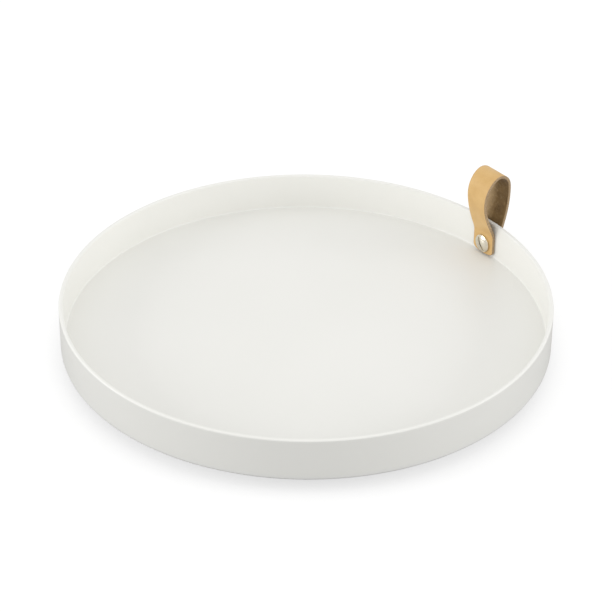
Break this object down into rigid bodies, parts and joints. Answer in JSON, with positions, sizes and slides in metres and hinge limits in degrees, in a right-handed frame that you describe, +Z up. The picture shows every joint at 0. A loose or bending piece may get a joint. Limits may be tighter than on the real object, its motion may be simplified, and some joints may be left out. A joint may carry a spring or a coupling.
{
  "type": "lazy susan turntable",
  "caption": "Shallow round tray with an upright rim that turns on a ball race over a low base; a folded leather loop is screwed through the rim as a handle.",
  "frame": {"origin": "on the spin axis, at the table top the foot ring stands on", "axes": "+Z up along the spin axis; +X from the axis to the leather handle at rest; +Y completes a right-handed frame"},
  "size_m": [0.3083, 0.3, 0.0715],
  "materials": {
    "white_plastic": "satin",
    "cage_plastic": "satin",
    "foot_rubber": "matte",
    "steel": "polished",
    "nickel": "polished",
    "leather": "smooth grain side out, rough flesh side in"
  },
  "bodies": {
    "base": {"base": "white_plastic", "foot_ring": "foot_rubber"},
    "tray": {"tray": "white_plastic", "pivot_washer": "steel", "pivot_screw": "steel", "handle_screw": "nickel", "handle_barrel": "nickel"},
    "cage": {"ball_cage": "cage_plastic"},
    "ball_01": {"ball_01": "steel"},
    "ball_02": {"ball_02": "steel"},
    "ball_03": {"ball_03": "steel"},
    "ball_04": {"ball_04": "steel"},
    "ball_05": {"ball_05": "steel"},
    "ball_06": {"ball_06": "steel"},
    "ball_07": {"ball_07": "steel"},
    "ball_08": {"ball_08": "steel"},
    "ball_09": {"ball_09": "steel"},
    "ball_10": {"ball_10": "steel"},
    "ball_11": {"ball_11": "steel"},
    "ball_12": {"ball_12": "steel"},
    "ball_13": {"ball_13": "steel"},
    "ball_14": {"ball_14": "steel"},
    "ball_15": {"ball_15": "steel"},
    "ball_16": {"ball_16": "steel"},
    "handle": {"handle_strap": "leather"}
  },
  "joints": [
    {"name": "platter_spin", "type": "hinge", "parent": "base", "child": "tray", "pos_m": [0, 0, 0], "axis": [0, 0, 1], "continuous": true},
    {"name": "cage_orbit", "type": "hinge", "parent": "base", "child": "cage", "pos_m": [0, 0, 0.0063], "axis": [0, 0, 1], "continuous": true},
    {"name": "handle_swivel", "type": "hinge", "parent": "tray", "child": "handle", "pos_m": [0.1487, 0, 0.0198], "axis": [1, 0, 0], "range_deg": [-12, 12]},
    {"name": "ball_roll_01", "type": "hinge", "parent": "cage", "child": "ball_01", "pos_m": [0.068, 0, 0.0063], "axis": [1, 0, 0], "continuous": true},
    {"name": "ball_roll_02", "type": "hinge", "parent": "cage", "child": "ball_02", "pos_m": [0.06282, 0.02602, 0.0063], "axis": [0.9239, 0.3827, 0], "continuous": true},
    {"name": "ball_roll_03", "type": "hinge", "parent": "cage", "child": "ball_03", "pos_m": [0.04808, 0.04808, 0.0063], "axis": [0.7071, 0.7071, 0], "continuous": true},
    {"name": "ball_roll_04", "type": "hinge", "parent": "cage", "child": "ball_04", "pos_m": [0.02602, 0.06282, 0.0063], "axis": [0.3827, 0.9239, 0], "continuous": true},
    {"name": "ball_roll_05", "type": "hinge", "parent": "cage", "child": "ball_05", "pos_m": [0, 0.068, 0.0063], "axis": [0, 1, 0], "continuous": true},
    {"name": "ball_roll_06", "type": "hinge", "parent": "cage", "child": "ball_06", "pos_m": [-0.02602, 0.06282, 0.0063], "axis": [-0.3827, 0.9239, 0], "continuous": true},
    {"name": "ball_roll_07", "type": "hinge", "parent": "cage", "child": "ball_07", "pos_m": [-0.04808, 0.04808, 0.0063], "axis": [-0.7071, 0.7071, 0], "continuous": true},
    {"name": "ball_roll_08", "type": "hinge", "parent": "cage", "child": "ball_08", "pos_m": [-0.06282, 0.02602, 0.0063], "axis": [-0.9239, 0.3827, 0], "continuous": true},
    {"name": "ball_roll_09", "type": "hinge", "parent": "cage", "child": "ball_09", "pos_m": [-0.068, 0, 0.0063], "axis": [-1, 0, 0], "continuous": true},
    {"name": "ball_roll_10", "type": "hinge", "parent": "cage", "child": "ball_10", "pos_m": [-0.06282, -0.02602, 0.0063], "axis": [-0.9239, -0.3827, 0], "continuous": true},
    {"name": "ball_roll_11", "type": "hinge", "parent": "cage", "child": "ball_11", "pos_m": [-0.04808, -0.04808, 0.0063], "axis": [-0.7071, -0.7071, 0], "continuous": true},
    {"name": "ball_roll_12", "type": "hinge", "parent": "cage", "child": "ball_12", "pos_m": [-0.02602, -0.06282, 0.0063], "axis": [-0.3827, -0.9239, 0], "continuous": true},
    {"name": "ball_roll_13", "type": "hinge", "parent": "cage", "child": "ball_13", "pos_m": [0, -0.068, 0.0063], "axis": [0, -1, 0], "continuous": true},
    {"name": "ball_roll_14", "type": "hinge", "parent": "cage", "child": "ball_14", "pos_m": [0.02602, -0.06282, 0.0063], "axis": [0.3827, -0.9239, 0], "continuous": true},
    {"name": "ball_roll_15", "type": "hinge", "parent": "cage", "child": "ball_15", "pos_m": [0.04808, -0.04808, 0.0063], "axis": [0.7071, -0.7071, 0], "continuous": true},
    {"name": "ball_roll_16", "type": "hinge", "parent": "cage", "child": "ball_16", "pos_m": [0.06282, -0.02602, 0.0063], "axis": [0.9239, -0.3827, 0], "continuous": true}
  ],
  "couplings": [
    {"joint": "cage_orbit", "follows": "platter_spin", "ratio": 0.5},
    {"joint": "ball_roll_01", "follows": "platter_spin", "ratio": -13.6},
    {"joint": "ball_roll_02", "follows": "platter_spin", "ratio": -13.6},
    {"joint": "ball_roll_03", "follows": "platter_spin", "ratio": -13.6},
    {"joint": "ball_roll_04", "follows": "platter_spin", "ratio": -13.6},
    {"joint": "ball_roll_05", "follows": "platter_spin", "ratio": -13.6},
    {"joint": "ball_roll_06", "follows": "platter_spin", "ratio": -13.6},
    {"joint": "ball_roll_07", "follows": "platter_spin", "ratio": -13.6},
    {"joint": "ball_roll_08", "follows": "platter_spin", "ratio": -13.6},
    {"joint": "ball_roll_09", "follows": "platter_spin", "ratio": -13.6},
    {"joint": "ball_roll_10", "follows": "platter_spin", "ratio": -13.6},
    {"joint": "ball_roll_11", "follows": "platter_spin", "ratio": -13.6},
    {"joint": "ball_roll_12", "follows": "platter_spin", "ratio": -13.6},
    {"joint": "ball_roll_13", "follows": "platter_spin", "ratio": -13.6},
    {"joint": "ball_roll_14", "follows": "platter_spin", "ratio": -13.6},
    {"joint": "ball_roll_15", "follows": "platter_spin", "ratio": -13.6},
    {"joint": "ball_roll_16", "follows": "platter_spin", "ratio": -13.6}
  ]
}
